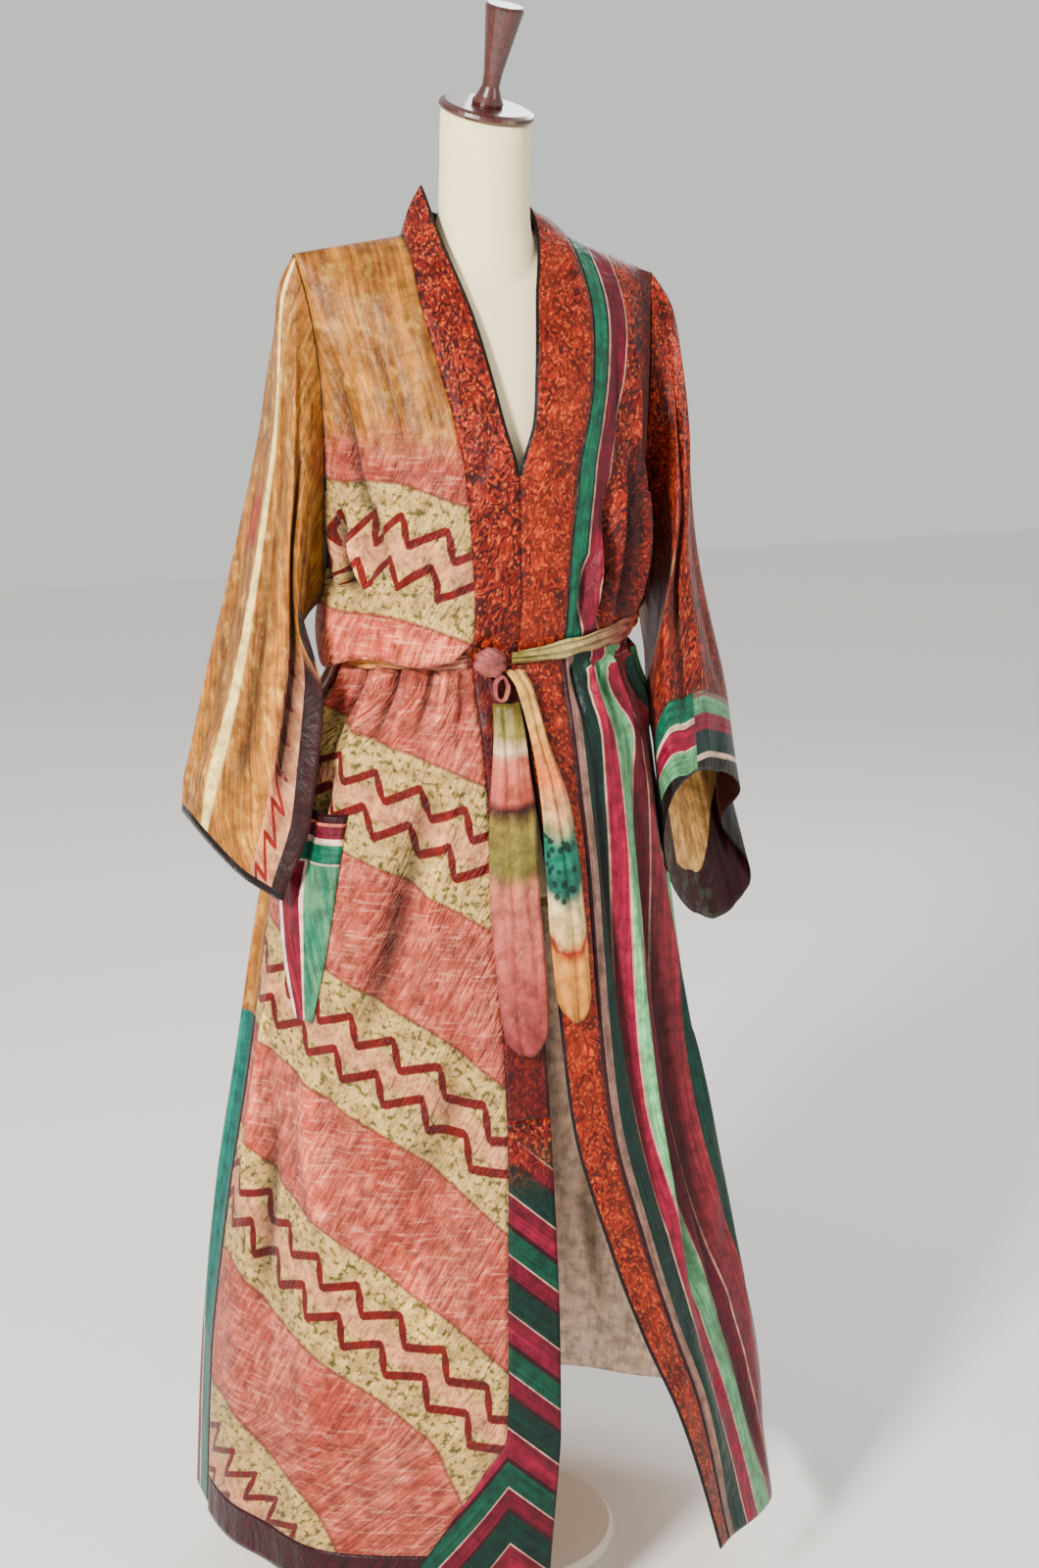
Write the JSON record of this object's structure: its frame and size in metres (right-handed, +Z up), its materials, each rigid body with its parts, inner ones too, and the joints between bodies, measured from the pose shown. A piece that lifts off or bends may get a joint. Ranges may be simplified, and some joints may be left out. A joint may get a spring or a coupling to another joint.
{
  "type": "kimono duster on dress form",
  "caption": "Long patched silk kimono duster with wide sleeves, neckband, patch pocket and tied belt, worn open at the hem on a limbless dress form on a round stand.",
  "frame": {"origin": "centre of the underside of the stand's round base", "axes": "+Z up, -Y to the front of the garment, +X to the wearer's left"},
  "size_m": [0.6324, 0.4834, 1.6159],
  "materials": {
    "rose_silk": "soft silk, rose with zigzag bands",
    "striped_silk": "soft silk, green and maroon stripes",
    "ochre_silk": "soft silk, gold ochre",
    "paisley_silk": "soft silk, rust with small paisley",
    "border_silk": "soft silk, dark maroon",
    "belt_silk": "soft silk, pieced belt",
    "linen": "ivory linen stretched over the form",
    "dark_wood": "dark polished wood",
    "pale_steel": "ivory enamel"
  },
  "bodies": {
    "root": {"right_front": "rose_silk", "left_front": "striped_silk", "back": "ochre_silk", "neckband_right": "paisley_silk", "neckband_left": "paisley_silk", "right_edge_band": "striped_silk", "right_hem_band": "border_silk", "right_sleeve": "ochre_silk", "left_sleeve": "paisley_silk", "left_sleeve_cuff": "striped_silk", "pocket": "striped_silk", "belt_right": "belt_silk", "belt_left": "belt_silk", "belt_knot": "belt_silk", "belt_loop": "belt_silk", "belt_tail_right": "belt_silk", "belt_tail_left": "belt_silk", "form_torso": "linen", "neck_cap": "dark_wood", "neck_handle": "dark_wood", "hip_plate": "dark_wood", "pole": "pale_steel", "base": "pale_steel"}
  },
  "joints": []
}
